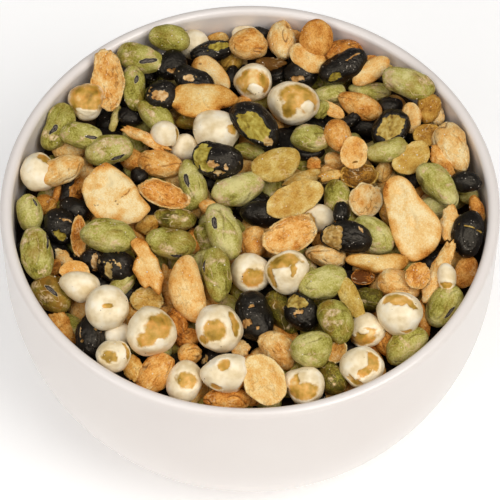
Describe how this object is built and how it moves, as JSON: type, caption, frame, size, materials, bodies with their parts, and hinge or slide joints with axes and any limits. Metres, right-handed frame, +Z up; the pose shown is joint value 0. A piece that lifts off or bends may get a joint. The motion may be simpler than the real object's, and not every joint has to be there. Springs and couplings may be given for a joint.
{
  "type": "bowl of roasted bean mix",
  "caption": "Round white bowl on a low foot, filled to just under its rim with an uneven heap of roasted soybeans, coated peas, split halves and slices.",
  "frame": {"origin": "middle of the foot, on the surface that the bowl stands on", "axes": "+Z up out of the bowl, +X to the right and +Y away from the viewer of the picture"},
  "size_m": [0.12, 0.12, 0.0707],
  "materials": {
    "glaze": "smooth glossy glaze",
    "beans": "dry roasted, lightly salted"
  },
  "bodies": {
    "root": {"bowl": "glaze", "bean_mix": "beans"}
  },
  "joints": []
}
